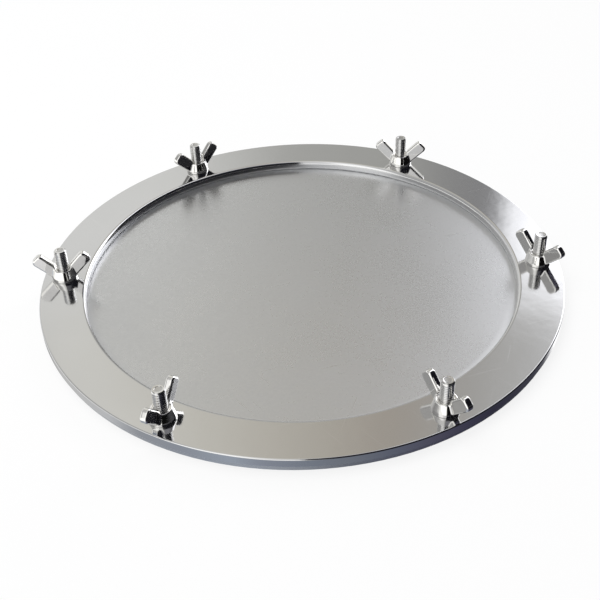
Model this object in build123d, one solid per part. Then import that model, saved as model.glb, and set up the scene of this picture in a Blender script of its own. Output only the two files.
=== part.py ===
from build123d import *
import math
import os

# Round cover plate: a flat disc with a flat clamping ring on top, held by studs and wing nuts.
# Millimetres. The origin is the centre of the disc's underside, +Z points up along the studs,
# and the first stud lies on +X.

# Clamping ring
ring_diameter = 340.0
ring_face_width = 29.5
ring_thickness = 6.0
ring_edge_chamfer = 0.6

# Cover disc, a little smaller than the ring
ring_overhang = 1.5
disc_thickness = 4.0
disc_edge_chamfer = 0.5

# Studs, pressed in from below with their heads flush
stud_count = 6
stud_edge_distance = 14.0
stud_diameter = 8.0
stud_reach_above_ring = 21.2
stud_end_chamfer = 0.7
stud_head_diameter = 12.0
stud_head_thickness = 1.6
stud_press_clearance = 0.03
ring_hole_clearance = 0.5

# Wing nuts
nut_base_diameter = 16.6
nut_band_height = 0.8
nut_band_draft = 0.1
nut_top_diameter = 12.6
nut_height = 7.6
nut_base_chamfer = 0.4
nut_top_round = 0.6
nut_thread_clearance = 0.05
nut_countersink_depth = 0.6
wing_tip_reach = 16.5
wing_tip_height = 16.4
wing_tip_width = 8.8
wing_root_depth = 4.3
wing_root_height = 3.45
wing_root_width = 8.2
wing_thickness = 4.8
wing_corner_radius = 2.4
wing_edge_round = 1.0
wing_root_blend = 0.5
wing_stud_clearance = 1.4

# Directions in which the wings came to rest when the nuts were tightened, one for each stud
nut_rest_angles = [-49.0, -11.0, 38.0, 6.0, 67.0, -55.0]

# Sizes that follow from the ones above
ring_radius = ring_diameter / 2
ring_bore_radius = ring_radius - ring_face_width
disc_radius = ring_radius - ring_overhang
stud_circle_radius = ring_radius - stud_edge_distance
stud_radius = stud_diameter / 2
stud_head_radius = stud_head_diameter / 2
ring_top = disc_thickness + ring_thickness
nut_bore_radius = stud_radius + nut_thread_clearance
nut_base_radius = nut_base_diameter / 2


def lathe(profile):
    """Turn a closed profile, given as (radius, height) points, about the Z axis."""
    face = make_face(Polyline([(r, 0, z) for r, z in profile], close=True))
    return revolve(face, Axis.Z)


def stud_places():
    """Yield the place of each stud's axis on the stud circle."""
    for index in range(stud_count):
        angle = math.radians(360 / stud_count * index)
        yield Pos(stud_circle_radius * math.cos(angle), stud_circle_radius * math.sin(angle), 0)


def clamp_ring():
    """Flat ring with broken edges and a clearance hole for each stud."""
    c = ring_edge_chamfer
    ring = lathe([
        (ring_bore_radius, disc_thickness + c), (ring_bore_radius + c, disc_thickness),
        (ring_radius - c, disc_thickness), (ring_radius, disc_thickness + c),
        (ring_radius, ring_top - c), (ring_radius - c, ring_top),
        (ring_bore_radius + c, ring_top), (ring_bore_radius, ring_top - c),
    ])
    hole = Pos(0, 0, disc_thickness) * Cylinder(
        stud_radius + ring_hole_clearance, ring_thickness, align=(Align.CENTER, Align.CENTER, Align.MIN))
    for place in stud_places():
        ring -= place * hole
    return ring


def cover_disc():
    """Plain disc with a stepped hole for each stud, wide at the underside for its head."""
    c = disc_edge_chamfer
    disc = lathe([
        (0, 0), (disc_radius - c, 0), (disc_radius, c),
        (disc_radius, disc_thickness - c), (disc_radius - c, disc_thickness), (0, disc_thickness),
    ])
    shank = stud_radius + stud_press_clearance
    head = stud_head_radius + stud_press_clearance
    hole = lathe([
        (0, 0), (head, 0), (head, stud_head_thickness),
        (shank, stud_head_thickness), (shank, disc_thickness), (0, disc_thickness),
    ])
    for place in stud_places():
        disc -= place * hole
    return disc


def stud():
    """Headed stud: a thin round head at the disc's underside and a shank up through the nut."""
    tip = ring_top + stud_reach_above_ring
    c = stud_end_chamfer
    return lathe([
        (0, 0), (stud_head_radius, 0), (stud_head_radius, stud_head_thickness),
        (stud_radius, stud_head_thickness), (stud_radius, tip - c), (stud_radius - c, tip), (0, tip),
    ])


def nut_hub():
    """Tapered round hub of a wing nut, standing on z = 0, on a low band with a broken lower edge."""
    base = nut_base_radius
    top = nut_top_diameter / 2
    hub = lathe([
        (0, 0), (base - nut_base_chamfer, 0), (base, nut_base_chamfer),
        (base - nut_band_draft, nut_band_height), (top, nut_height), (0, nut_height),
    ])
    rim = hub.edges().filter_by(GeomType.CIRCLE).group_by(Axis.Z)[-1]
    return fillet(rim, nut_top_round)


def nut_wing():
    """One wing towards +X: a flat bar from inside the hub up to its tip, with all its edges rounded."""
    tip = Vector(wing_tip_reach, 0, wing_tip_height)
    root = Vector(nut_base_radius - wing_root_depth, 0, wing_root_height)
    along = (tip - root).normalized()
    across = Vector(-along.Z, 0, along.X)
    outline = Polyline([
        root - across * (wing_root_width / 2), tip - across * (wing_tip_width / 2),
        tip + across * (wing_tip_width / 2), root + across * (wing_root_width / 2),
    ], close=True)
    bar = extrude(make_face(outline), wing_thickness / 2, dir=(0, 1, 0), both=True)
    corners = bar.edges().filter_by(Axis.Y).sort_by_distance(tip)[:2]
    bar = fillet(corners, min(wing_corner_radius, 0.45 * wing_tip_width))
    rims = bar.faces().filter_by(Axis.Y).edges()
    return fillet(rims, min(wing_edge_round, 0.45 * wing_thickness))


def nut_casting():
    """Hub and two opposite wings as one casting, blended where they meet."""
    hub = nut_hub()
    wing = nut_wing()
    other_wing = Rot(0, 0, 180) * wing
    casting = hub + wing + other_wing
    return fillet(new_edges(hub, wing, other_wing, combined=casting), wing_root_blend)


def wing_nut():
    """The casting with its bore, countersunk at both ends, and its wings cut clear of the stud."""
    mouth = nut_bore_radius + nut_countersink_depth
    bore = lathe([
        (0, 0), (mouth, 0), (nut_bore_radius, nut_countersink_depth),
        (nut_bore_radius, nut_height - nut_countersink_depth), (mouth, nut_height), (0, nut_height),
    ])
    clearance = Pos(0, 0, nut_height) * Cylinder(
        stud_radius + wing_stud_clearance, wing_tip_height, align=(Align.CENTER, Align.CENTER, Align.MIN))
    return nut_casting() - bore - clearance


os.makedirs("parts", exist_ok=True)
export_step(clamp_ring(), "parts/clamp_ring.step")
export_step(cover_disc(), "parts/cover_disc.step")
one_stud = stud()
one_nut = wing_nut()
for number, (place, angle) in enumerate(zip(stud_places(), nut_rest_angles), start=1):
    export_step(place * one_stud, f"parts/stud_{number}.step")
    export_step(place * Pos(0, 0, ring_top) * Rot(0, 0, angle) * one_nut, f"parts/wing_nut_{number}.step")
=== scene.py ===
import math

import bmesh
import bpy
import numpy as np
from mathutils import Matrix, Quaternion, Vector


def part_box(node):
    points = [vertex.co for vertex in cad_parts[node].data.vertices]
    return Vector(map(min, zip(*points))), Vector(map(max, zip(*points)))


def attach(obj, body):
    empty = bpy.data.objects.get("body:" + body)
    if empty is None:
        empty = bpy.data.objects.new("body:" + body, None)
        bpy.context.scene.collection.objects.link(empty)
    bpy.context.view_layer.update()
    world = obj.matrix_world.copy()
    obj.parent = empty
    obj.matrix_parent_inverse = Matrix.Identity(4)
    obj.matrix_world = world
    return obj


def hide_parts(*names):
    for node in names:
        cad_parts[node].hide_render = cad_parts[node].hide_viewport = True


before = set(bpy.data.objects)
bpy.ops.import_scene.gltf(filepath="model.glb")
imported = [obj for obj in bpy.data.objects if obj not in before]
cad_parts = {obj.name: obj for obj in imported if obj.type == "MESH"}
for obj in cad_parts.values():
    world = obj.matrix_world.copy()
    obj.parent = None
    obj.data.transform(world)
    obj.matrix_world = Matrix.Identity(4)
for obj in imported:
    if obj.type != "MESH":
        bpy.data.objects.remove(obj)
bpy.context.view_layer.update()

# Cover disc.
# A plain disc of stainless sheet that closes the opening. Its face has a fine satin blast,
# and its edge is broken by a small chamfer. The studs are pressed into it from below.

disc_steel = (0.645, 0.652, 0.660)
disc_roughness = 0.29
disc_grain_size = 0.0016
disc_cloud_size = 0.060

# The border of the disc's face is rougher from a scuff, and painted paler as painted light against the
# ring wall's shade:
# how far out that begins and is full, and the height that parts the face from the edge
disc_scuff_and_painted_light_start = 0.1350
disc_scuff_and_painted_light_end = 0.1410
disc_face_from = 0.0038


def place(tree, kind, inputs=None, **settings):
    """Put one node in a tree. An input is a value, or a socket that is linked to it."""
    made = tree.nodes.new(kind)
    for name, value in settings.items():
        setattr(made, name, value)
    for key, value in (inputs or {}).items():
        if isinstance(value, bpy.types.NodeSocket):
            tree.links.new(value, made.inputs[key])
        else:
            made.inputs[key].default_value = value
    return made


def arithmetic(tree, operation, first, second=0.0):
    """One sum of two numbers or sockets, as a socket."""
    return place(tree, "ShaderNodeMath", {0: first, 1: second}, operation=operation).outputs["Value"]


def spread(tree, value, low, high, to_low, to_high, smooth=False):
    """Map a value from one range to another, held at both ends."""
    kind = "SMOOTHSTEP" if smooth else "LINEAR"
    made = place(tree, "ShaderNodeMapRange", {
        "Value": value, "From Min": low, "From Max": high, "To Min": to_low, "To Max": to_high,
    }, interpolation_type=kind)
    return made.outputs["Result"]


def blend_colours(tree, share, first, second):
    """Mix two colours, or sockets, by a share, as a socket."""
    return place(tree, "ShaderNodeMix", {0: share, 6: first, 7: second}, data_type="RGBA").outputs[2]


def lay_over(tree, below, mask, strength, colour):
    """The colour below, with another laid over it where the mask is, as strongly as given."""
    return blend_colours(tree, arithmetic(tree, "MULTIPLY", mask, strength), below, colour)


def add_where(tree, value, mask, amount):
    """The value, with an amount added where the mask is."""
    return arithmetic(tree, "ADD", value, arithmetic(tree, "MULTIPLY", mask, amount))


def start_group(name, inputs, outputs):
    """An empty node group with number inputs and their usual values, and its named outputs."""
    group = bpy.data.node_groups.new(name, "ShaderNodeTree")
    for label, value in inputs.items():
        socket = group.interface.new_socket(label, in_out="INPUT", socket_type="NodeSocketFloat")
        socket.default_value = value
    for label in outputs:
        group.interface.new_socket(label, in_out="OUTPUT", socket_type="NodeSocketFloat")
    return group, group.nodes.new("NodeGroupInput").outputs, group.nodes.new("NodeGroupOutput").inputs


def surface_point(tree):
    """The point on the piece in metres, and a number that differs from piece to piece."""
    point = tree.nodes.new("ShaderNodeTexCoord").outputs["Object"]
    own = arithmetic(tree, "MULTIPLY", tree.nodes.new("ShaderNodeObjectInfo").outputs["Random"], 40.0)
    return point, own


def metal_grain_group():
    """Even speckle of a blasted, rolled or cast skin, and slow clouds over it."""
    group, given, result = start_group(
        "metal_grain", {"Grain Size": 0.001, "Cloud Size": 0.05}, ["Grain", "Cloud", "Height"])
    point, own = surface_point(group)
    grain = place(group, "ShaderNodeTexNoise", {
        "Vector": point, "W": own, "Scale": arithmetic(group, "DIVIDE", 1.0, given["Grain Size"]),
        "Detail": 3.0, "Roughness": 0.6,
    }, noise_dimensions="4D").outputs["Fac"]
    cloud = place(group, "ShaderNodeTexNoise", {
        "Vector": point, "W": own, "Scale": arithmetic(group, "DIVIDE", 1.0, given["Cloud Size"]),
        "Detail": 2.0, "Roughness": 0.45,
    }, noise_dimensions="4D").outputs["Fac"]
    group.links.new(spread(group, grain, 0.28, 0.72, 0.0, 1.0), result["Grain"])
    group.links.new(spread(group, cloud, 0.30, 0.70, 0.0, 1.0), result["Cloud"])
    group.links.new(grain, result["Height"])
    return group


def hairline_group():
    """Hairline scratches of wiping and stacking, in three directions and in broken runs."""
    group, given, result = start_group(
        "hairlines", {"Spacing": 0.002, "Length": 0.05, "Share": 0.3}, ["Scratch"])
    point, own = surface_point(group)
    across = arithmetic(group, "DIVIDE", 1.0, given["Spacing"])
    along = arithmetic(group, "DIVIDE", 1.0, given["Length"])
    stretch = place(group, "ShaderNodeCombineXYZ", {"X": across, "Y": along, "Z": along}).outputs["Vector"]
    faint = add_where(group, 0.78, given["Share"], -0.2)
    clear = arithmetic(group, "ADD", faint, 0.05)
    total = 0.0
    for index, turn in enumerate((0.31, 1.27, 2.43)):
        turned = place(group, "ShaderNodeVectorRotate", {
            "Vector": point, "Angle": turn}, rotation_type="Z_AXIS").outputs["Vector"]
        drawn = place(group, "ShaderNodeVectorMath", {
            0: turned, 1: stretch}, operation="MULTIPLY").outputs["Vector"]
        lines = place(group, "ShaderNodeTexNoise", {
            "Vector": drawn, "W": arithmetic(group, "ADD", own, 7.0 * index), "Scale": 1.0, "Detail": 1.0,
        }, noise_dimensions="4D").outputs["Fac"]
        total = arithmetic(group, "MAXIMUM", total, spread(group, lines, faint, clear, 0.0, 1.0))
    group.links.new(total, result["Scratch"])
    return group


def edge_wear_group():
    """Edges rubbed bright by handling, broken up so that they aren't even."""
    group, given, result = start_group("edge_wear", {"Width": 0.0005, "Patch Size": 0.004}, ["Wear"])
    point, own = surface_point(group)
    rounded = place(group, "ShaderNodeBevel", {"Radius": given["Width"]}, samples=4).outputs["Normal"]
    facing = group.nodes.new("ShaderNodeNewGeometry").outputs["Normal"]
    turn = place(group, "ShaderNodeVectorMath", {
        0: rounded, 1: facing}, operation="DOT_PRODUCT").outputs["Value"]
    edge = spread(group, turn, 0.995, 0.93, 0.0, 1.0)
    patches = place(group, "ShaderNodeTexNoise", {
        "Vector": point, "W": own, "Scale": arithmetic(group, "DIVIDE", 1.0, given["Patch Size"]),
        "Detail": 2.0,
    }, noise_dimensions="4D").outputs["Fac"]
    worn = arithmetic(group, "MULTIPLY", edge, spread(group, patches, 0.35, 0.65, 0.35, 1.0))
    group.links.new(worn, result["Wear"])
    return group


metal_grain = metal_grain_group()
hairlines = hairline_group()
edge_wear = edge_wear_group()


def use_group(tree, group, **inputs):
    """Place a shared group in a material with its own values."""
    named = {key.replace("_", " ").title(): value for key, value in inputs.items()}
    return place(tree, "ShaderNodeGroup", named, node_tree=group).outputs


def start_metal(name):
    """A bare metal material, its tree and its shader."""
    material = bpy.data.materials.new(name)
    material.use_nodes = True
    tree = material.node_tree
    shader = tree.nodes["Principled BSDF"]
    shader.inputs["Metallic"].default_value = 1.0
    return material, tree, shader


def shade(colour, share=1.0):
    """A colour made lighter or darker by a share, with its alpha."""
    return (colour[0] * share, colour[1] * share, colour[2] * share, 1.0)


def reach_out(tree):
    """Distance from the piece's own axis, for marks that follow its round shape."""
    point = tree.nodes.new("ShaderNodeTexCoord").outputs["Object"]
    level = place(tree, "ShaderNodeVectorMath", {0: point, 1: (1.0, 1.0, 0.0)}, operation="MULTIPLY")
    flat = level.outputs["Vector"]
    return place(tree, "ShaderNodeVectorMath", {0: flat}, operation="LENGTH").outputs["Value"]


def height_up(tree):
    """Height over the piece's own origin."""
    point = tree.nodes.new("ShaderNodeTexCoord").outputs["Object"]
    return place(tree, "ShaderNodeSeparateXYZ", {0: point}).outputs["Z"]


def bumped(tree, height, strength, distance, below=None):
    """The normal of a surface with a relief on it, over another relief if there is one."""
    inputs = {"Height": height, "Strength": strength, "Distance": distance}
    if below is not None:
        inputs["Normal"] = below
    return place(tree, "ShaderNodeBump", inputs).outputs["Normal"]


def finish_metal(tree, shader, colour, rough, normal):
    """Link a metal's colour, roughness and normal to its shader."""
    tree.links.new(colour, shader.inputs["Base Color"])
    tree.links.new(rough, shader.inputs["Roughness"])
    tree.links.new(normal, shader.inputs["Normal"])


def satin_steel():
    """Finely blasted steel with slow clouds, a rough border with painted light on it, and rubbed edges."""
    material, tree, shader = start_metal("satin_steel")
    grain = use_group(tree, metal_grain, grain_size=disc_grain_size, cloud_size=disc_cloud_size)
    lines = use_group(tree, hairlines, spacing=0.0011, length=0.030, share=0.25)
    wear = use_group(tree, edge_wear, width=0.0005, patch_size=0.005)
    scuff_and_painted_light = spread(tree, reach_out(tree), disc_scuff_and_painted_light_start, disc_scuff_and_painted_light_end, 0.0, 1.0)
    on_face = arithmetic(tree, "GREATER_THAN", height_up(tree), disc_face_from)
    scuff_and_painted_light = arithmetic(tree, "MULTIPLY", scuff_and_painted_light, on_face)
    colour = blend_colours(tree, grain["Grain"], shade(disc_steel, 0.945), shade(disc_steel, 1.055))
    colour = lay_over(tree, colour, grain["Cloud"], 0.5, shade(disc_steel, 0.96))
    # Painted light: the border next to the ring's wall is painted paler, against the shade and dark
    # reflection of the wall
    colour = lay_over(tree, colour, scuff_and_painted_light, 1.0, shade(disc_steel, 1.08))
    colour = lay_over(tree, colour, wear["Wear"], 0.6, shade(disc_steel, 1.2))
    rough = spread(tree, grain["Grain"], 0, 1, disc_roughness + 0.01, disc_roughness - 0.05)
    rough = add_where(tree, rough, grain["Cloud"], 0.04)
    rough = add_where(tree, rough, lines["Scratch"], -0.05)
    rough = add_where(tree, rough, wear["Wear"], -0.12)
    rough = add_where(tree, rough, scuff_and_painted_light, 0.25)
    normal = bumped(tree, grain["Height"], 0.35, 0.00006)
    finish_metal(tree, shader, colour, rough, normal)
    return material


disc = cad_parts["cover_disc"]
disc.data.materials.clear()
disc.data.materials.append(satin_steel())

# Studs.
# Six stainless studs with a rolled metric thread. Their thin heads sit flush in the disc's
# underside, and their ends have a small chamfer and a shallow dimple.

stud_radius = 0.00398
stud_head_radius = 0.0060
stud_head_thickness = 0.0016
stud_edge = 0.0001
thread_start = 0.0042
thread_pitch = 0.00125
thread_depth = 0.00036
thread_run_in = 1.2 * thread_pitch
stud_chamfer = 0.0007
stud_dimple_radius = 0.0022
stud_dimple_depth = 0.0002
stud_columns = 72
stud_sharp_edge = math.radians(38)
stud_turn = 1.1
stud_steel_colour = (0.800, 0.795, 0.780)

# One turn of the thread's outline, as (share of the pitch, share of the depth), over the crest,
# down a flank, along the root and up to the next crest
thread_outline = [
    (0.000, 0.06), (0.030, 0.0), (0.600, 0.0), (0.630, 0.06),
    (0.750, 0.92), (0.780, 1.0), (0.850, 1.0), (0.880, 0.92),
]


def ring_points(radius, height, columns):
    """Points evenly round the axis. The radius and height are numbers, or one for each point."""
    turn = np.linspace(0, 2 * np.pi, columns, endpoint=False)
    return np.stack([radius * np.cos(turn), radius * np.sin(turn), np.broadcast_to(height, columns)], 1)


def thread_rows(length):
    """Rows of points that follow the helix, from the thread's start up to the stud's end."""
    per_turn = len(thread_outline)
    share = np.arange(stud_columns) / stud_columns
    rows = []
    for step in range(int(length / thread_pitch + 2) * per_turn):
        phase, depth = thread_outline[step % per_turn]
        height = (step // per_turn + phase - 1 + share) * thread_pitch
        held = np.clip(height, 0, length)
        run_in = np.clip(held / thread_run_in, 0, 1)
        radius = stud_radius - thread_depth * depth * run_in
        radius = np.minimum(radius, stud_radius - stud_chamfer + (length - held))
        rows.append(ring_points(radius, thread_start + held, stud_columns))
    return rows


def stud_mesh(top):
    """The stud's mesh: head, shank, thread and end."""
    length = top - thread_start
    edge, end = stud_edge, stud_radius - stud_chamfer
    rim, under = stud_head_radius, stud_head_thickness
    dimple, floor = stud_dimple_radius, top - stud_dimple_depth
    head = [
        (0.0, 0.0), (rim / 2, 0.0), (rim - edge, 0.0), (rim, edge), (rim, under - edge),
        (rim - edge, under), (stud_radius + edge / 2, under), (stud_radius, under + edge / 2),
        (stud_radius, thread_start),
    ]
    tip = [
        (end - edge, top), (dimple + 1.5 * edge, top), (dimple, top - edge / 2),
        (dimple - 1.2 * edge, floor + 0.2 * edge), (dimple - 3 * edge, floor), (0.0, floor),
    ]
    rows = [ring_points(r, z, stud_columns) for r, z in head]
    helix_from = len(rows)
    rows += thread_rows(length)
    helix_to = len(rows)
    rows += [ring_points(r, z, stud_columns) for r, z in tip]
    per_turn = len(thread_outline)
    faces = []
    for row in range(len(rows) - 1):
        for column in range(stud_columns):
            after = (column + 1) % stud_columns
            shift = per_turn if after == 0 and helix_from <= row < helix_to - 1 else 0
            low, high = row + shift, row + 1 + shift
            if shift and high >= helix_to:
                low, high = min(low, helix_to - 1), helix_to - 1
            faces.append((row * stud_columns + column, low * stud_columns + after,
                          high * stud_columns + after, (row + 1) * stud_columns + column))
    mesh = bpy.data.meshes.new("threaded_stud")
    mesh.from_pydata(np.concatenate(rows).tolist(), [], faces)
    work = bmesh.new()
    work.from_mesh(mesh)
    bmesh.ops.remove_doubles(work, verts=work.verts, dist=2e-6)
    bmesh.ops.dissolve_degenerate(work, edges=work.edges, dist=1e-6)
    bmesh.ops.recalc_face_normals(work, faces=work.faces)
    work.to_mesh(mesh)
    work.free()
    mesh.shade_smooth()
    mesh.set_sharp_from_angle(angle=stud_sharp_edge)
    return mesh


def threaded_steel():
    """Bright rolled steel with painted shade in the thread's root, and rubbed crests."""
    material, tree, shader = start_metal("threaded_steel")
    grain = use_group(tree, metal_grain, grain_size=0.0006, cloud_size=0.006)
    lines = use_group(tree, hairlines, spacing=0.0005, length=0.006, share=0.5)
    wear = use_group(tree, edge_wear, width=0.00015, patch_size=0.002)
    deep, shallow = stud_radius - 0.75 * thread_depth, stud_radius - 0.2 * thread_depth
    root = spread(tree, reach_out(tree), deep, shallow, 1.0, 0.0)
    below_end = arithmetic(tree, "LESS_THAN", height_up(tree), stud_end - stud_edge / 2)
    root = arithmetic(tree, "MULTIPLY", root, below_end)
    # Painted shade: the thread's root is darkened where shade falls between the crests, and it is also
    # made rougher
    colour = lay_over(tree, shade(stud_steel_colour), root, 0.55, shade(stud_steel_colour, 0.45))
    colour = lay_over(tree, colour, grain["Cloud"], 0.35, shade(stud_steel_colour, 0.9))
    colour = lay_over(tree, colour, wear["Wear"], 0.5, shade(stud_steel_colour, 1.25))
    rough = spread(tree, grain["Grain"], 0, 1, 0.07, 0.12)
    rough = add_where(tree, rough, root, 0.15)
    rough = add_where(tree, rough, lines["Scratch"], 0.10)
    normal = bumped(tree, grain["Height"], 0.3, 0.00002)
    finish_metal(tree, shader, colour, rough, normal)
    return material


def add_piece(name, mesh, material):
    """One object for a mesh, in the scene, in its material."""
    if not mesh.materials:
        mesh.materials.append(material)
    piece = bpy.data.objects.new(name, mesh)
    bpy.context.scene.collection.objects.link(piece)
    return piece


def foot_point(node):
    """The point in the middle of a node's box, at its foot."""
    low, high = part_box(node)
    return ((low.x + high.x) / 2, (low.y + high.y) / 2, low.z)


stud_numbers = range(1, 7)
stud_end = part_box("stud_1")[1].z
one_stud = stud_mesh(stud_end)
stud_finish = threaded_steel()
for number in stud_numbers:
    stud = add_piece(f"threaded_stud_{number}", one_stud, stud_finish)
    stud.location = foot_point(f"stud_{number}")
    stud.rotation_euler.z = stud_turn * number
    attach(stud, "cover")
    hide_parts(f"stud_{number}")

# Clamping ring.
# A flat ring cut from stainless plate and polished almost to a mirror. It lies on the disc's
# rim over the studs, and the nuts press it down. Its mouth is rounded over by the polishing.

ring_steel = (0.690, 0.690, 0.688)
ring_roughness = 0.090
ring_bore = min(math.hypot(v.co.x, v.co.y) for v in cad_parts["clamp_ring"].data.vertices)
ring_chamfer = 0.0006
mouth_round = 0.0024
rim_round = 0.0008
arc_steps = 12
edge_hold = 0.00015
stud_hole_radius = 0.0045
stud_hole_sides = 48
ring_columns = 480
ring_sharp_edge = math.radians(30)

# The foot of the bore's wall is duller than its polished top, and painted paler there as painted light:
# how thick that skin is, and the heights between which it fades
wall_skin = 0.0003
wall_foot = 0.0049
wall_foot_end = 0.0063


def ring_outline(bore, rim, bottom, top):
    """Half section of the ring, as (radius, height), from the mouth round by the rim to the bore.

    A point stands close to each side of an edge, so that the flats stay flat under smooth shading.
    """
    mouth, outer = [], []
    for step in range(arc_steps + 1):
        turn = math.radians(90) * step / arc_steps
        mouth.append((bore + mouth_round * (1 - math.cos(turn)), top - mouth_round * (1 - math.sin(turn))))
        outer.append((rim - rim_round * (1 - math.sin(turn)), top - rim_round * (1 - math.cos(turn))))
    cut, past = ring_chamfer, ring_chamfer + edge_hold
    return [
        (bore, top - mouth_round - edge_hold), *mouth, (bore + mouth_round + edge_hold, top),
        (rim - rim_round - edge_hold, top), *outer, (rim, top - rim_round - edge_hold),
        (rim, bottom + past), (rim, bottom + cut), (rim - cut, bottom), (rim - past, bottom),
        (bore + past, bottom), (bore + cut, bottom), (bore, bottom + cut), (bore, bottom + past),
    ]


def turned_mesh(name, outline, columns):
    """A closed ring turned from a half section."""
    rows = [ring_points(radius, height, columns) for radius, height in outline]
    faces = []
    for row in range(len(rows)):
        above = (row + 1) % len(rows)
        for column in range(columns):
            after = (column + 1) % columns
            faces.append((row * columns + column, above * columns + column,
                          above * columns + after, row * columns + after))
    mesh = bpy.data.meshes.new(name)
    mesh.from_pydata(np.concatenate(rows).tolist(), [], faces)
    return mesh


def add_round(work, sides, bottom, top, low_radius, high_radius=None, x=0.0, y=0.0):
    """Add a round block, straight or tapered, to what a bmesh holds."""
    made = bmesh.ops.create_cone(
        work, cap_ends=True, segments=sides, radius1=low_radius,
        radius2=low_radius if high_radius is None else high_radius, depth=top - bottom)
    bmesh.ops.translate(work, verts=made["verts"], vec=(x, y, (bottom + top) / 2))


def workshop_object(name, work):
    """A helper object for what a bmesh holds, which a modifier can use."""
    mesh = bpy.data.meshes.new(name)
    work.to_mesh(mesh)
    work.free()
    made = bpy.data.objects.new(name, mesh)
    bpy.context.scene.collection.objects.link(made)
    return made


def cut_with(block, cutter):
    """Have a modifier cut one object out of another."""
    cut = block.modifiers.new("cut", "BOOLEAN")
    cut.object = cutter
    cut.solver = "EXACT"


def take_mesh(block, *helpers):
    """The mesh that an object's modifiers make. The object and its helpers are cleared away."""
    bpy.context.view_layer.update()
    shaped = block.evaluated_get(bpy.context.evaluated_depsgraph_get())
    done = bpy.data.meshes.new_from_object(shaped)
    for spare in (block, *helpers):
        spare_mesh = spare.data
        bpy.data.objects.remove(spare)
        bpy.data.meshes.remove(spare_mesh)
    return done


def drilled(mesh, places, radius, bottom, top):
    """The mesh with a round hole through it at each place."""
    drills, half = bmesh.new(), (top - bottom) / 2
    for x, y in places:
        add_round(drills, stud_hole_sides, bottom - half, top + half, radius, x=x, y=y)
    drill = workshop_object("drill", drills)
    blank = bpy.data.objects.new("blank", mesh)
    bpy.context.scene.collection.objects.link(blank)
    cut_with(blank, drill)
    return take_mesh(blank, drill)


def polished_steel():
    """Polished steel with slow waves, hairlines, rubbed edges, and a dull foot to the bore's wall with
    painted light on it.
    """
    material, tree, shader = start_metal("polished_steel")
    grain = use_group(tree, metal_grain, grain_size=0.0010, cloud_size=0.045)
    lines = use_group(tree, hairlines, spacing=0.0009, length=0.040, share=0.35)
    wear = use_group(tree, edge_wear, width=0.0005, patch_size=0.006)
    on_wall = arithmetic(tree, "LESS_THAN", reach_out(tree), ring_bore + wall_skin)
    foot = spread(tree, height_up(tree), wall_foot_end, wall_foot, 0.0, 1.0)
    foot = arithmetic(tree, "MULTIPLY", on_wall, foot)
    colour = lay_over(tree, shade(ring_steel), grain["Cloud"], 0.6, shade(ring_steel, 0.955))
    colour = lay_over(tree, colour, lines["Scratch"], 0.25, shade(ring_steel, 1.12))
    # Painted light: the foot of the bore's wall is painted much paler, standing in for light its dark
    # reflection lacks
    colour = lay_over(tree, colour, foot, 0.9, shade(ring_steel, 1.40))
    colour = lay_over(tree, colour, wear["Wear"], 0.6, shade(ring_steel, 1.2))
    rough = spread(tree, grain["Cloud"], 0, 1, ring_roughness - 0.015, ring_roughness + 0.02)
    rough = add_where(tree, rough, lines["Scratch"], 0.05)
    rough = add_where(tree, rough, wear["Wear"], 0.06)
    rough = add_where(tree, rough, foot, 0.40)
    rolled = use_group(tree, metal_grain, grain_size=0.030, cloud_size=0.09)
    waves = bumped(tree, rolled["Height"], 0.5, 0.00015)
    normal = bumped(tree, grain["Height"], 0.10, 0.000006, waves)
    finish_metal(tree, shader, colour, rough, normal)
    return material


ring_low, ring_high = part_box("clamp_ring")
stud_spots = [foot_point(f"stud_{number}")[:2] for number in stud_numbers]
ring_blank = turned_mesh(
    "clamping_ring", ring_outline(ring_bore, ring_high.y, ring_low.z, ring_high.z), ring_columns)
ring_mesh = drilled(ring_blank, stud_spots, stud_hole_radius, ring_low.z, ring_high.z)
ring_mesh.name = "clamping_ring"
ring_mesh.shade_smooth()
ring_mesh.set_sharp_from_angle(angle=ring_sharp_edge)
ring = add_piece("clamping_ring", ring_mesh, polished_steel())
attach(ring, "cover")
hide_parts("clamp_ring")

# Wing nuts.
# Six cast wing nuts with a bright nickel plating. Hub and wings are one casting, with small
# blends where they meet. The bore is countersunk at both ends, and its thread is left out.

# The hub's outline as (radius, height), from the foot to the top, and the wings' middle lines as
# (reach, height) of their root and tip
hub_height = 0.0076
hub_outline = [
    (0.0079, 0.0), (0.0083, 0.0004), (0.0081, 0.0018), (0.0063, hub_height), (0.0, hub_height),
]
hub_foot_rounding = 0.0001
hub_top_rounding = 0.0007
nut_bore_radius = 0.00405
nut_countersink = 0.0006
bore_rounding = 0.0002
wing_tip = (0.01675, 0.01668)
wing_root = (0.0040, 0.00345)
wing_tip_half_width = 0.0044
wing_root_half_width = 0.0041
wing_half_thickness = 0.0024
wing_corner = 0.0031
wing_edge = 0.0014
wing_inner_reach = 0.0054
wing_inner_rounding = 0.0004
root_blend = 0.0011
wing_length = math.dist(wing_root, wing_tip)
wing_cosine = (wing_tip[0] - wing_root[0]) / wing_length
wing_sine = (wing_tip[1] - wing_root[1]) / wing_length
casting_step = 0.00021
cutter_sides = 64
wing_sample_reach = 0.010
settling_rounds = 14
settling_limit = 0.0003
nickel = (0.860, 0.850, 0.825)


def soft_least(first, second, blend):
    """The lesser of two distances, with a soft blend where they meet: a fillet."""
    share = np.clip(0.5 + 0.5 * (second - first) / blend, 0, 1)
    return second + (first - second) * share - blend * share * (1 - share)


def soft_most(first, second, blend):
    """The greater of two distances, with a soft blend where they meet: a rounded edge."""
    return -soft_least(-first, -second, blend)


def rounded_corner(first, second, radius):
    """The greater of two distances, with a true arc of this radius round their corner."""
    first, second = first + radius, second + radius
    outside = np.hypot(np.maximum(first, 0), np.maximum(second, 0))
    return outside + np.minimum(np.maximum(first, second), 0) - radius


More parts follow.
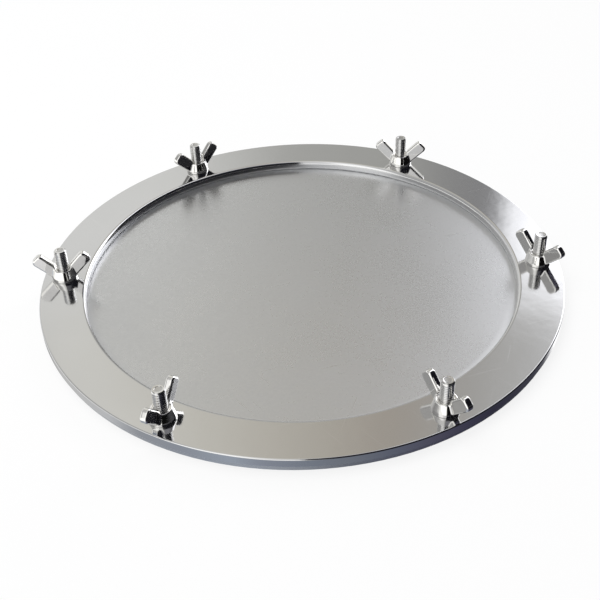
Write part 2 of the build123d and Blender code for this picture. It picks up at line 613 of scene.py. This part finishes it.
def hub_distance(radius, height):
    """Distance to the hub: each line of its outline in turn, rounded into the last."""
    shell = -height
    for (r, z), (next_r, next_z) in zip(hub_outline, hub_outline[1:]):
        length = math.hypot(next_r - r, next_z - z)
        side = ((radius - r) * (next_z - z) - (height - z) * (next_r - r)) / length
        if z < hub_height:
            shell = rounded_corner(shell, side, hub_foot_rounding)
        else:
            shell = soft_most(shell, side, hub_top_rounding)
    return shell


def wing_distance(reach, side, height):
    """Distance to the wings: flat bars with rounded corners and rims."""
    out, up = np.abs(reach) - wing_tip[0], height - wing_tip[1]
    along = out * wing_cosine + up * wing_sine
    across = up * wing_cosine - out * wing_sine
    taper = (wing_tip_half_width - wing_root_half_width) / wing_length
    rim = (np.abs(across) - wing_tip_half_width - taper * along) / math.hypot(1, taper)
    outline = np.maximum(rounded_corner(rim, along, wing_corner), -wing_length - along)
    return rounded_corner(outline, np.abs(side) - wing_half_thickness, wing_edge)


def nut_distance(points):
    """Signed distance to the casting's surface, near enough to settle points on it."""
    x, y, z = points.T
    radius = np.hypot(x, y)
    body = soft_least(hub_distance(radius, z), wing_distance(x, y, z), root_blend)
    above_hub = np.maximum(radius - wing_inner_reach, hub_height - z)
    body = soft_most(body, -above_hub, wing_inner_rounding)
    body = soft_most(body, nut_bore_radius - radius, bore_rounding)
    for depth in (hub_height - z, z):
        sink = (nut_bore_radius + nut_countersink - radius - np.maximum(depth, 0)) / math.sqrt(2)
        body = soft_most(body, sink, bore_rounding)
    return body


def distance_slope(points, step=0.00001):
    """Direction in which the distance grows, for each point."""
    slopes = []
    for axis in range(3):
        move = np.zeros(3)
        move[axis] = step
        slopes.append((nut_distance(points + move) - nut_distance(points - move)) / (2 * step))
    return np.stack(slopes, 1)


def rough_casting():
    """Hub and wings as simple overlapping blocks, to be remeshed."""
    work = bmesh.new()
    foot_radius, foot_height = hub_outline[2][0], 0.001
    for (low_r, low_z), (high_r, high_z) in zip(hub_outline[1:], hub_outline[2:-1]):
        add_round(work, cutter_sides, low_z, high_z, low_r, high_r)
    add_round(work, cutter_sides, 0.0, foot_height, foot_radius)
    for turn in (1, -1):
        corners = []
        for (reach, height), half in ((wing_root, wing_root_half_width), (wing_tip, wing_tip_half_width)):
            for across in (-half, half):
                for side in (-wing_half_thickness, wing_half_thickness):
                    out, up = reach - across * wing_sine, height + across * wing_cosine
                    corners.append(work.verts.new((turn * out, turn * side, up)))
        bmesh.ops.convex_hull(work, input=corners)
    return work


def bore_cutter(name, radius, bottom, top):
    """A plain round cutter for the bore."""
    work = bmesh.new()
    add_round(work, cutter_sides, bottom, top, radius)
    return workshop_object(name, work)


def remeshed(block, name, size):
    """Have a modifier cover an object with an even net of faces."""
    net = block.modifiers.new(name, "REMESH")
    net.mode = "VOXEL"
    net.voxel_size = size


def casting_mesh():
    """The finished casting: an even net of faces, settled on the true surface."""
    block = workshop_object("casting_block", rough_casting())
    under, over, above_hub = -0.01, 0.04, hub_height + 0.0001
    cutters = [
        bore_cutter("bore_tool", nut_bore_radius, under, over),
        bore_cutter("clearance_tool", wing_inner_reach, above_hub, over),
    ]
    remeshed(block, "joined", 1.5 * casting_step)
    for cutter in cutters:
        cut_with(block, cutter)
    remeshed(block, "net", casting_step)
    mesh = take_mesh(block, *cutters)
    points = np.empty(len(mesh.vertices) * 3)
    mesh.vertices.foreach_get("co", points)
    points = points.reshape(-1, 3)
    for _ in range(settling_rounds):
        slope = distance_slope(points)
        steep = np.maximum((slope ** 2).sum(1), 0.25)
        step = np.clip(nut_distance(points) / steep, -settling_limit, settling_limit)
        points -= step[:, None] * slope
    mesh.vertices.foreach_set("co", points.ravel())
    mesh.name = "wing_nut_casting"
    return mesh


def turned_casting(casting, turn):
    """A copy of the casting turned about its axis, with the true surface's normals."""
    mesh = casting.copy()
    points = np.empty(len(mesh.vertices) * 3)
    mesh.vertices.foreach_get("co", points)
    normals = distance_slope(points.reshape(-1, 3))
    normals /= np.linalg.norm(normals, axis=1, keepdims=True)
    cosine, sine = math.cos(turn), math.sin(turn)
    turning = np.array([(cosine, sine, 0), (-sine, cosine, 0), (0, 0, 1)])
    mesh.vertices.foreach_set("co", (points.reshape(-1, 3) @ turning).ravel())
    mesh.shade_smooth()
    mesh.normals_split_custom_set_from_vertices((normals @ turning).tolist())
    mesh.update()
    return mesh


def bright_nickel():
    """Bright plating over a slightly wavy casting, with hairlines and rubbed edges."""
    material, tree, shader = start_metal("bright_nickel")
    grain = use_group(tree, metal_grain, grain_size=0.0012, cloud_size=0.008)
    lines = use_group(tree, hairlines, spacing=0.0005, length=0.004, share=0.4)
    wear = use_group(tree, edge_wear, width=0.0006, patch_size=0.003)
    colour = lay_over(tree, shade(nickel), grain["Cloud"], 0.6, shade(nickel, 0.92))
    colour = lay_over(tree, colour, lines["Scratch"], 0.3, shade(nickel, 0.75))
    colour = lay_over(tree, colour, wear["Wear"], 0.5, shade(nickel, 1.12))
    rough = spread(tree, grain["Cloud"], 0, 1, 0.05, 0.10)
    rough = add_where(tree, rough, lines["Scratch"], 0.10)
    cast = use_group(tree, metal_grain, grain_size=0.0050, cloud_size=0.02)
    waves = bumped(tree, cast["Height"], 0.4, 0.00008)
    normal = bumped(tree, grain["Height"], 0.15, 0.000015, waves)
    finish_metal(tree, shader, colour, rough, normal)
    return material


def wing_direction(node):
    """The way a nut's wings point, from the long direction of the part's own mesh past the hub."""
    points = np.array([v.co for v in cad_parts[node].data.vertices])[:, :2]
    points = points - np.array(foot_point(node)[:2])
    points = points[np.hypot(*points.T) > wing_sample_reach]
    _, vectors = np.linalg.eigh(points.T @ points)
    return math.atan2(vectors[1, 1], vectors[0, 1])


one_casting = casting_mesh()
nut_finish = bright_nickel()
for number in stud_numbers:
    node = f"wing_nut_{number}"
    own_casting = turned_casting(one_casting, wing_direction(node))
    nut = add_piece(f"wing_nut_casting_{number}", own_casting, nut_finish)
    nut.location = foot_point(node)
    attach(nut, f"nut_{number}")
    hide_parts(node)

# Studio.
# A plain pale floor, a soft lamp overhead and, for the metal to mirror, the sides of a room: a
# window at the back right, pale walls behind and at the left, dark curtains at the right and in
# front. The camera itself sees plain white behind the part.

floor_size = 12.0
floor_drop = 0.0002
floor_paint = (0.9, 0.9, 0.9, 1.0)
floor_glow = 0.85
pure_white = (1.0, 1.0, 1.0, 1.0)
lamp_side = 1.2
lamp_power = 14.0
lamp_place = (-0.5, 0.2, 1.5)


def studio_floor():
    """The floor, which catches a little shade and is plain white to the camera otherwise."""
    half = floor_size / 2
    corners = [(-half, -half, 0), (half, -half, 0), (half, half, 0), (-half, half, 0)]
    mesh = bpy.data.meshes.new("studio_floor")
    mesh.from_pydata(corners, [], [(0, 1, 2, 3)])
    material = bpy.data.materials.new("pale_floor")
    material.use_nodes = True
    tree = material.node_tree
    tree.nodes.clear()
    paint = place(tree, "ShaderNodeBsdfDiffuse", {"Color": floor_paint})
    glow = place(tree, "ShaderNodeEmission", {"Color": pure_white, "Strength": 1.0})
    seen = tree.nodes.new("ShaderNodeLightPath").outputs["Is Camera Ray"]
    share = arithmetic(tree, "MULTIPLY", seen, floor_glow)
    mixed = place(tree, "ShaderNodeMixShader", {0: share, 1: paint.outputs[0], 2: glow.outputs[0]})
    place(tree, "ShaderNodeOutputMaterial", {"Surface": mixed.outputs[0]})
    mesh.materials.append(material)
    floor = bpy.data.objects.new("studio_floor", mesh)
    bpy.context.scene.collection.objects.link(floor)
    floor.location.z = -floor_drop
    floor.visible_glossy = False
    floor.visible_shadow = False


# The room as the metal sees it, band over band. Each goes round from the front by the left, the
# back and the right to the front again, as (degrees from straight behind the part, colour or grey).
room_below = [
    (-180, (0.24, 0.27, 0.33)), (-161, (0.31, 0.34, 0.41)), (-146, (0.41, 0.46, 0.54)),
    (-122, (0.35, 0.38, 0.44)), (-101, (0.38, 0.40, 0.44)), (-84, (0.66, 0.67, 0.69)), (-64, 0.66),
    (0, 0.40), (16, 0.75), (38, (1.40, 1.40, 1.42)), (45, (0.60, 0.60, 0.62)), (51, (0.12, 0.12, 0.14)),
    (60, (0.06, 0.06, 0.08)), (90, (0.040, 0.039, 0.064)), (104, (0.058, 0.056, 0.094)),
    (123, (0.100, 0.098, 0.145)), (142, (0.140, 0.155, 0.210)), (162, (0.205, 0.225, 0.270)),
    (180, (0.24, 0.27, 0.33)),
]
room_near_floor = [
    (-180, (0.80, 0.80, 0.82)), (-160, (0.80, 0.80, 0.82)), (-148, (0.41, 0.46, 0.54)),
    (-122, (0.35, 0.38, 0.44)), (-101, (0.38, 0.40, 0.44)), (-84, (0.66, 0.67, 0.69)), (-64, 0.66),
    (-49, 0.62), (-32, 0.42), (-16, 0.32), (0, 0.30), (16, 0.75), (38, (1.40, 1.40, 1.42)),
    (45, (0.60, 0.60, 0.62)), (51, (0.12, 0.12, 0.14)), (60, (0.06, 0.06, 0.08)),
    (170, (0.05, 0.05, 0.08)), (180, (0.80, 0.80, 0.82)),
]
room_at_table_height = [
    (-180, 0.01), (-178, (1.35, 1.35, 1.33)), (-70, (1.30, 1.30, 1.28)), (-55, 0.90),
    (-20, (0.80, 0.80, 0.79)), (0, (0.45, 0.45, 0.44)), (14, 0.35), (16, 1.30), (55, 1.20), (62, 0.004),
    (180, 0.004),
]
room_at_eye_height = [
    (-180, (0.16, 0.16, 0.17)), (-174, (0.90, 0.90, 0.92)), (-154, 1.40), (-130, 1.40),
    (-120, (0.45, 0.45, 0.46)), (-72, 0.40), (-50, (0.85, 0.85, 0.86)), (-9, (0.85, 0.85, 0.83)),
    (6, (0.46, 0.46, 0.44)), (13.6, 0.34), (14.2, (1.45, 1.46, 1.52)), (21, (2.50, 2.52, 2.66)),
    (54, (2.30, 2.32, 2.45)), (62, (0.07, 0.07, 0.08)), (150, (0.10, 0.10, 0.11)),
    (180, (0.16, 0.16, 0.17)),
]
room_at_lamp_height = [
    (-180, (0.02, 0.02, 0.03)), (-177, (0.90, 0.90, 0.92)), (-162, (0.90, 0.90, 0.92)), (-154, 1.45),
    (-130, 1.45), (-120, (0.40, 0.40, 0.41)), (-72, 0.34), (-50, (0.70, 0.70, 0.71)), (-28, 0.74),
    (-20, (0.85, 0.85, 0.84)), (-9, (0.85, 0.85, 0.83)), (-1, (0.50, 0.50, 0.48)),
    (6, (0.46, 0.46, 0.44)), (10, 0.32), (13.3, (0.27, 0.27, 0.28)), (13.9, (1.32, 1.33, 1.38)),
    (18, (1.85, 1.86, 1.94)), (23, (3.50, 3.52, 3.66)), (54, (3.40, 3.42, 3.56)),
    (60, (0.008, 0.008, 0.011)), (180, (0.006, 0.006, 0.009)),
]
room_above_lamps = [
    (-180, (0.02, 0.02, 0.03)), (-177, 0.78), (-162, 0.80), (-154, 1.35), (-132, 1.35), (-114, 0.55),
    (-72, 0.50), (-50, 0.46), (-28, (0.49, 0.49, 0.48)), (-18, (0.84, 0.83, 0.79)),
    (-10, (0.72, 0.70, 0.64)), (-4, (0.62, 0.59, 0.53)), (0, (0.56, 0.53, 0.47)),
    (6, (0.46, 0.42, 0.37)), (12, (0.47, 0.46, 0.44)), (18, 0.60), (24, (1.42, 1.43, 1.49)),
    (46, (1.90, 1.91, 2.00)), (52, (0.014, 0.014, 0.019)), (180, (0.008, 0.008, 0.012)),
]
room_overhead = [
    (-180, 0.30), (-165, 0.85), (20, 0.85), (50, (0.80, 0.80, 0.82)), (70, (0.30, 0.30, 0.33)),
    (160, (0.25, 0.25, 0.28)), (180, 0.30),
]

# Each band over the lowest, as (degrees up where it begins, where it is full, the band)
room_bands = [
    (-43, -38, room_near_floor), (-22, -14, room_at_table_height), (11, 14, room_at_eye_height),
    (18, 22, room_at_lamp_height), (33.5, 39.5, room_above_lamps), (62, 76, room_overhead),
]


def room_side(tree, share, stops):
    """One band of the room, coloured by the direction round the part."""
    ramp = place(tree, "ShaderNodeValToRGB", {"Fac": share})
    ramp.color_ramp.interpolation = "LINEAR"
    points = ramp.color_ramp.elements
    while len(points) > 1:
        points.remove(points[-1])
    for index, (degrees, tone) in enumerate(stops):
        where = (degrees + 180) / 360
        point = points[0] if index == 0 else points.new(where)
        point.position = where
        colour = tone if isinstance(tone, tuple) else (tone, tone, tone)
        point.color = (*colour, 1.0)
    return ramp.outputs["Color"]


def studio_room():
    """The world: the bands of the room laid over each other by how steeply one looks up."""
    world = bpy.data.worlds.new("studio_room")
    bpy.context.scene.world = world
    world.use_nodes = True
    tree = world.node_tree
    tree.nodes.clear()
    way = tree.nodes.new("ShaderNodeTexCoord").outputs["Generated"]
    x, y, z = place(tree, "ShaderNodeSeparateXYZ", {0: way}).outputs
    turn = arithmetic(tree, "ARCTAN2", x, y)
    share = arithmetic(tree, "ADD", arithmetic(tree, "DIVIDE", turn, 2 * math.pi), 0.5)
    rise = arithmetic(tree, "MULTIPLY", arithmetic(tree, "ARCSINE", z), 180 / math.pi)
    room = room_side(tree, share, room_below)
    for bottom, top, stops in room_bands:
        reached = spread(tree, rise, bottom, top, 0, 1, smooth=True)
        room = blend_colours(tree, reached, room, room_side(tree, share, stops))
    seen = tree.nodes.new("ShaderNodeLightPath").outputs["Is Camera Ray"]
    shown = blend_colours(tree, seen, room, pure_white)
    light = place(tree, "ShaderNodeBackground", {"Color": shown, "Strength": 1.0})
    place(tree, "ShaderNodeOutputWorld", {"Surface": light.outputs[0]})


def studio_lamp():
    """The soft lamp, turned to the part and left out of what the metal mirrors."""
    lamp = bpy.data.lights.new("soft_lamp", "AREA")
    lamp.shape = "SQUARE"
    lamp.size = lamp_side
    lamp.energy = lamp_power
    holder = bpy.data.objects.new("soft_lamp", lamp)
    bpy.context.scene.collection.objects.link(holder)
    holder.location = lamp_place
    holder.rotation_mode = "QUATERNION"
    holder.rotation_quaternion = Vector(holder.location).to_track_quat("Z", "Y")
    holder.visible_glossy = False


studio_floor()
studio_room()
studio_lamp()

# Camera.
# It looks down on the part from the front, close enough for the far side to look smaller, and is
# tilted a little about its own line of sight.

camera_distance = 0.6175
camera_elevation = math.radians(37.73)
camera_azimuth = math.radians(0.76)
camera_roll = math.radians(-2.332)
camera_target = Vector((-0.00098, -0.03360, 0.0100))
camera_lens = 58.52
camera_film = 36.0
camera_near = 0.01

back = Vector((
    math.cos(camera_elevation) * math.sin(camera_azimuth),
    -math.cos(camera_elevation) * math.cos(camera_azimuth),
    math.sin(camera_elevation),
))
camera = bpy.data.objects.new("camera", bpy.data.cameras.new("camera"))
bpy.context.scene.collection.objects.link(camera)
camera.data.lens = camera_lens
camera.data.sensor_width = camera_film
camera.data.clip_start = camera_near
camera.location = camera_target + back * camera_distance
camera.rotation_mode = "QUATERNION"
camera.rotation_quaternion = (-back).to_track_quat("-Z", "Y") @ Quaternion((0, 0, 1), camera_roll)
bpy.context.scene.camera = camera
bpy.context.scene.view_settings.view_transform = "Standard"
